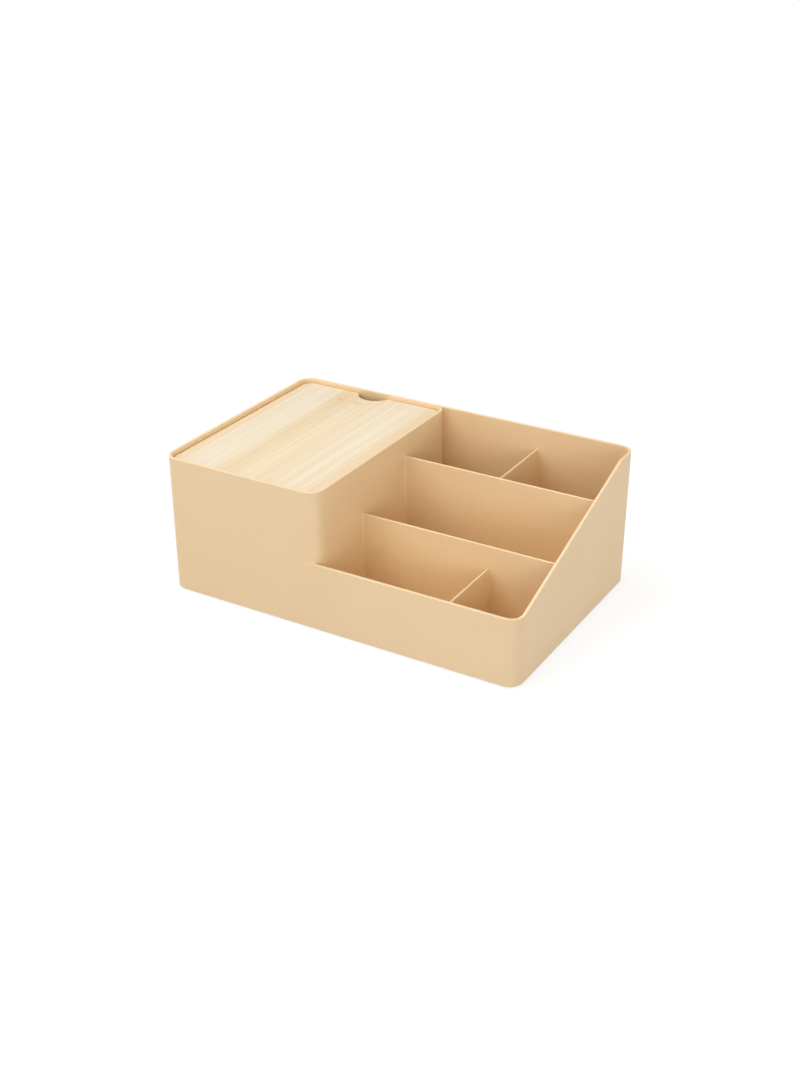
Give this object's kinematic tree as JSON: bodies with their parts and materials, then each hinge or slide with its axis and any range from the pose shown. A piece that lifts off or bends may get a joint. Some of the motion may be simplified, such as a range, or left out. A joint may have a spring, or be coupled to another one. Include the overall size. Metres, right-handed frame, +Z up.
{
  "type": "makeup organizer",
  "caption": "Low moulded desk organizer: tall lidded compartment on the left, open tray with stepped dividers and a sloping side wall on the right, bamboo lid.",
  "frame": {"origin": "middle of the footprint, on the surface that the organizer stands on", "axes": "+X along the front to the right, where the open tray is; +Y to the back; +Z up"},
  "size_m": [0.3, 0.194, 0.1116],
  "materials": {
    "moulded_plastic": "fine matt moulded texture, warm sand",
    "bamboo": "sanded bamboo, thin clear oil, grain front to back",
    "anti_slip_pad": "soft matt translucent rubber"
  },
  "bodies": {
    "base": {"organizer_body": "moulded_plastic", "pad_front_left": "anti_slip_pad", "pad_front_right": "anti_slip_pad", "pad_back_left": "anti_slip_pad", "pad_back_right": "anti_slip_pad"},
    "lid": {"lid_strip_1": "bamboo", "lid_strip_2": "bamboo", "lid_strip_3": "bamboo", "lid_strip_4": "bamboo", "lid_strip_5": "bamboo", "lid_strip_6": "bamboo", "lid_strip_7": "bamboo"}
  },
  "joints": [
    {"name": "lid_lift", "type": "slide", "parent": "base", "child": "lid", "axis": [0, 0, 1], "range_m": [0, 0.08]}
  ]
}
